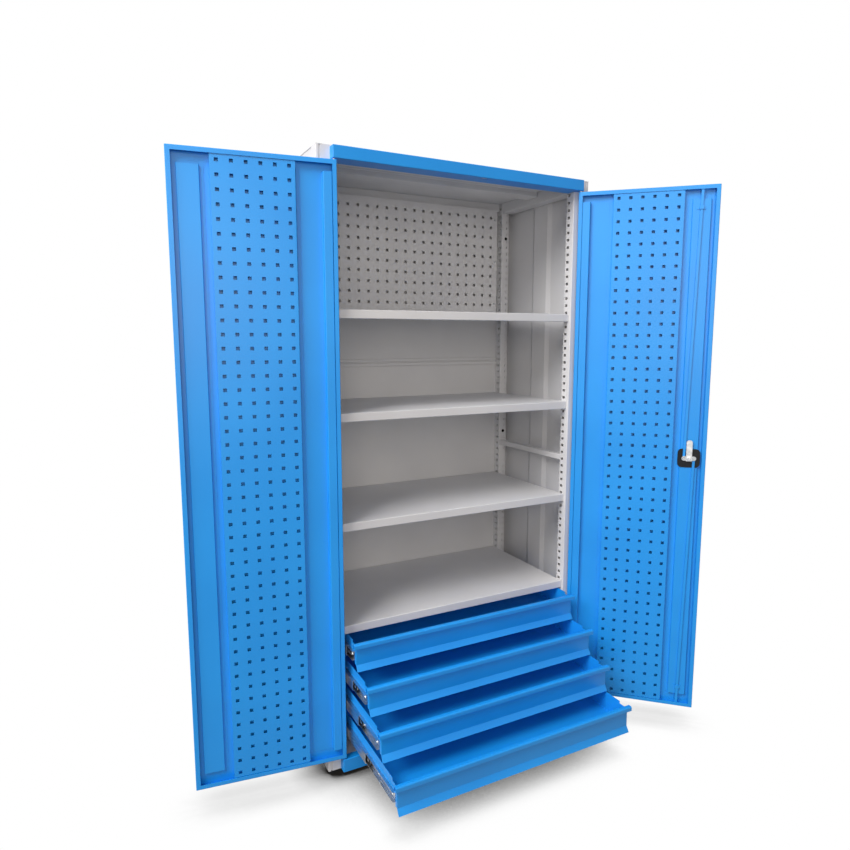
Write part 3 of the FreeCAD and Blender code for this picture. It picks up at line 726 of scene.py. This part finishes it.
def seenDirectly(tree):
    # 1 on the camera's own rays and on mirrored ones, 0 on light that falls on the cabinet
    ray = addNode(tree, "ShaderNodeLightPath").outputs
    seen = addNode(
        tree, "ShaderNodeMath", {"operation": "MAXIMUM"}, i0=ray["Is Camera Ray"], i1=ray["Is Glossy Ray"],
    )
    seen = addNode(
        tree, "ShaderNodeMath", {"operation": "MAXIMUM"}, i0=seen.outputs[0], i1=ray["Is Transmission Ray"],
    )
    return seen.outputs[0]


# matt studio floor: seen as white, darker only close under the cabinet, where a shadow is painted in and not cast
# by the lamps. Each painted shadow is a reach in m, the openness at which it is darkest and the openness at which
# it ends
floorLook = {
    "half": 14.0, "below": 0.5, "colour": "#868686", "shadow": "#1e1c1a", "samples": 16,
    "shadows": ((0.12, 0.45, 0.95), (0.32, 0.08, 0.55)),
}
half, level = floorLook["half"], -floorLook["below"] * mm
floorMesh = bpy.data.meshes.new("floor")
corners = [(-half, -half, level), (half, -half, level), (half, half, level), (-half, half, level)]
floorMesh.from_pydata(corners, [], [(0, 1, 2, 3)])
floor = bpy.data.objects.new("floor", floorMesh)
bpy.context.scene.collection.objects.link(floor)
floorPaint = bpy.data.materials.new("studioFloor")
floorPaint.use_nodes = True
tree = floorPaint.node_tree
tree.nodes.clear()
shade = None
for reach, dark, light in floorLook["shadows"]:
    near = addNode(tree, "ShaderNodeAmbientOcclusion", {"samples": floorLook["samples"], "Distance": reach})
    share = addNode(
        tree, "ShaderNodeMapRange", {"From Min": dark, "From Max": light}, Value=near.outputs["AO"],
    )
    shade = share if shade is None else addNode(
        tree, "ShaderNodeMath", {"operation": "MINIMUM"}, i0=shade.outputs[0], i1=share.outputs[0],
    )
paintedShadowRamp = addNode(tree, "ShaderNodeValToRGB", None, Fac=shade.outputs[0])
paintedShadowRamp.color_ramp.elements[0].color = linear(floorLook["shadow"])
paintedShadowRamp.color_ramp.elements[1].color = (1, 1, 1, 1)
# the floor glows on the camera's and mirrored rays: white where it is open, with the painted shadow where the
# cabinet stands close above it
white = addNode(tree, "ShaderNodeEmission", {"Strength": 1.0}, Color=paintedShadowRamp.outputs["Color"])
matt = addNode(tree, "ShaderNodeBsdfDiffuse", {"Color": linear(floorLook["colour"])})
mixed = addNode(
    tree, "ShaderNodeMixShader", None, i0=seenDirectly(tree), i1=matt.outputs[0], i2=white.outputs[0],
)
addNode(tree, "ShaderNodeOutputMaterial", None, Surface=mixed.outputs[0])
floorMesh.materials.append(floorPaint)

# white studio around the cabinet, which itself gets only a weak warm light from it
studio = {"fill": "#fff5ea", "strength": 0.25}
world = bpy.data.worlds.new("studio")
bpy.context.scene.world = world
world.use_nodes = True
tree = world.node_tree
tree.nodes.clear()
white = addNode(tree, "ShaderNodeBackground", {"Color": (1, 1, 1, 1), "Strength": 1.0})
soft = addNode(
    tree, "ShaderNodeBackground", {"Color": linear(studio["fill"]), "Strength": studio["strength"]},
)
mixed = addNode(
    tree, "ShaderNodeMixShader", None, i0=seenDirectly(tree), i1=soft.outputs[0], i2=white.outputs[0],
)
addNode(tree, "ShaderNodeOutputWorld", None, Surface=mixed.outputs[0])

# one broad softbox high on the left, as the photograph's light falls, and a weak fill into the bays
lamps = {
    "leftSoftbox": {
        "at": (-3.9, -1.7, 4.8), "aim": (0.0, -0.2, 0.9), "size": 3.4, "watts": 395.0, "colour": "#fffaf5",
    },
    "frontFill": {
        "at": (-1.5, -3.6, 1.9), "aim": (0.0, 0.0, 1.0), "size": 1.6, "watts": 38.0, "colour": "#fff3e4",
    },
}
for name, lamp in lamps.items():
    data = bpy.data.lights.new(name, "AREA")
    data.shape = "SQUARE"
    data.size = lamp["size"]
    data.energy = lamp["watts"]
    data.color = linear(lamp["colour"])[:3]
    obj = bpy.data.objects.new(name, data)
    bpy.context.scene.collection.objects.link(obj)
    obj.location = lamp["at"]
    obj.rotation_euler = (Vector(lamp["aim"]) - Vector(lamp["at"])).to_track_quat("-Z", "Y").to_euler()

# the photograph's camera, as solved from the hole grids and the cabinet's straight edges
camera = {
    "at": (-1.088, -2.053, 1.3672), "forward": (0.4559, 0.8803, -0.1314),
    "focalPx": 648.96, "framePx": 850.0, "sensorMm": 36.0, "seesTo": 60.0,
}
data = bpy.data.cameras.new("camera")
data.sensor_width = camera["sensorMm"]
data.lens = camera["sensorMm"] * camera["focalPx"] / camera["framePx"]
data.clip_end = camera["seesTo"]
obj = bpy.data.objects.new("camera", data)
bpy.context.scene.collection.objects.link(obj)
obj.location = camera["at"]
obj.rotation_euler = Vector(camera["forward"]).to_track_quat("-Z", "Y").to_euler()
bpy.context.scene.camera = obj
bpy.context.scene.view_settings.view_transform = "Standard"
print("stage, lamps, camera")
